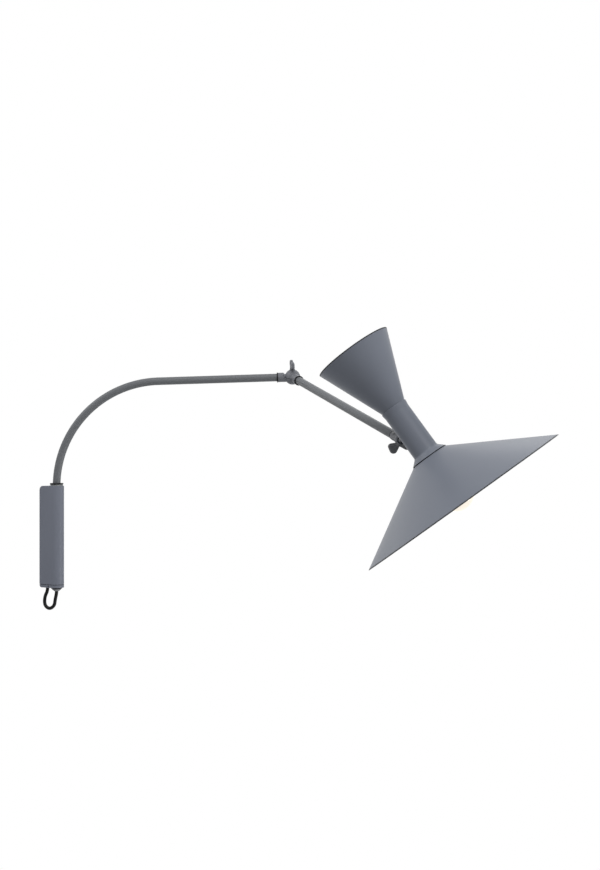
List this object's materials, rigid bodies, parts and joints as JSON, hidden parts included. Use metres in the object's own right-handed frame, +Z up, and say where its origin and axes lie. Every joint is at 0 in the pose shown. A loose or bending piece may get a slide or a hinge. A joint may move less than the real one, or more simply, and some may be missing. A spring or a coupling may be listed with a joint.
{
  "type": "articulating wall lamp",
  "caption": "Wall lamp with a swivelling bent arm, an elbow with a wing screw, a straight forearm and a double-cone head on a clamped ball joint.",
  "frame": {"origin": "middle of the bracket's back face, on the wall", "axes": "+X out of the wall, +Z up, +Y to the left of someone who faces the wall"},
  "size_m": [0.8459, 0.3772, 0.4118],
  "materials": {
    "bracket_paint": "satin blue-grey paint",
    "arm_paint": "satin grey paint",
    "joint_paint": "satin grey paint",
    "head_paint": "satin blue-grey paint",
    "black_plastic": "matte",
    "black_rubber": "matte",
    "grey_plastic": "satin",
    "black_metal": "satin black paint",
    "zinc_steel": "zinc plated",
    "brass": "plain",
    "chrome": "polished",
    "holder_plastic": "matte",
    "bulb_glass": "frosted white",
    "bulb_cap_metal": "plain"
  },
  "bodies": {
    "bracket": {"wall_plate": "zinc_steel", "bracket_body": "bracket_paint", "bottom_cap": "bracket_paint", "cap_screw": "zinc_steel", "cap_side_screws": "zinc_steel", "top_collar": "grey_plastic", "upper_bush": "black_plastic", "lower_bush": "black_plastic", "cord_grommet": "black_rubber", "terminal_block": "black_plastic", "terminal_screws": "brass", "cord_loop": "black_rubber"},
    "arm": {"arm_tube": "arm_paint", "retaining_collar": "zinc_steel", "retaining_screw": "zinc_steel", "cord_gland": "grey_plastic"},
    "elbow_base": {"elbow_inner_knuckle": "joint_paint", "elbow_inner_washer": "black_plastic", "elbow_inner_screw": "zinc_steel", "elbow_nut": "zinc_steel", "elbow_friction_disc": "black_plastic"},
    "forearm": {"elbow_outer_knuckle": "joint_paint", "elbow_outer_washer": "black_plastic", "elbow_outer_screw": "zinc_steel", "forearm_tube": "arm_paint", "clamp_spigot": "chrome"},
    "elbow_wing": {"elbow_wing_screw": "joint_paint"},
    "clamp": {"clamp_upper_half": "joint_paint", "clamp_lower_half": "joint_paint", "clamp_washer": "black_plastic", "clamp_nut": "black_metal"},
    "clamp_wing": {"clamp_wing_screw": "black_metal"},
    "stud": {"ball_stud": "black_metal", "stud_nut": "zinc_steel"},
    "head": {"head_body": "head_paint", "upper_cone": "head_paint", "lower_cone": "head_paint", "neck_gasket": "black_plastic", "stud_saddle": "joint_paint", "inner_saddle": "zinc_steel", "upper_bridge": "zinc_steel", "upper_lampholder": "holder_plastic", "upper_shade_ring": "holder_plastic", "upper_bulb": "bulb_glass", "upper_bulb_cap": "bulb_cap_metal", "lower_lampholder": "holder_plastic", "lower_shade_ring": "holder_plastic", "lower_bulb": "bulb_glass", "lower_bulb_cap": "bulb_cap_metal"}
  },
  "joints": [
    {"name": "wall_swivel", "type": "hinge", "parent": "bracket", "child": "arm", "pos_m": [0.025, 0, 0], "axis": [0, 0, 1], "range_deg": [-115, 55]},
    {"name": "elbow_roll", "type": "hinge", "parent": "arm", "child": "elbow_base", "pos_m": [0.34422, 0.1843, 0.24922], "axis": [0.8656, 0.4998, 0.0314], "range_deg": [-106, 73]},
    {"name": "elbow_bend", "type": "hinge", "parent": "elbow_base", "child": "forearm", "pos_m": [0.34422, 0.1843, 0.24922], "axis": [0.1151, -0.2596, 0.9588], "range_deg": [-36, 173]},
    {"name": "elbow_wing_turn", "type": "hinge", "parent": "forearm", "child": "elbow_wing", "pos_m": [0.34422, 0.1843, 0.24922], "axis": [0.1151, -0.2596, 0.9588], "range_deg": [-360, 360]},
    {"name": "head_roll", "type": "hinge", "parent": "forearm", "child": "clamp", "pos_m": [0.63781, -0.03965, 0.15335], "axis": [0.7696, -0.587, -0.2513], "range_deg": [-170, 170]},
    {"name": "clamp_wing_turn", "type": "hinge", "parent": "clamp", "child": "clamp_wing", "pos_m": [0.62742, -0.03173, 0.15674], "axis": [-0.0891, -0.4884, 0.8681], "range_deg": [-360, 360]},
    {"name": "head_tilt", "type": "hinge", "parent": "clamp", "child": "stud", "pos_m": [0.63781, -0.03965, 0.15335], "axis": [-0.6183, -0.7834, -0.0633], "range_deg": [-75, 4.5]},
    {"name": "head_turn", "type": "hinge", "parent": "stud", "child": "head", "pos_m": [0.63781, -0.03965, 0.15335], "axis": [0.7204, -0.597, 0.353], "range_deg": [-170, 170]}
  ]
}
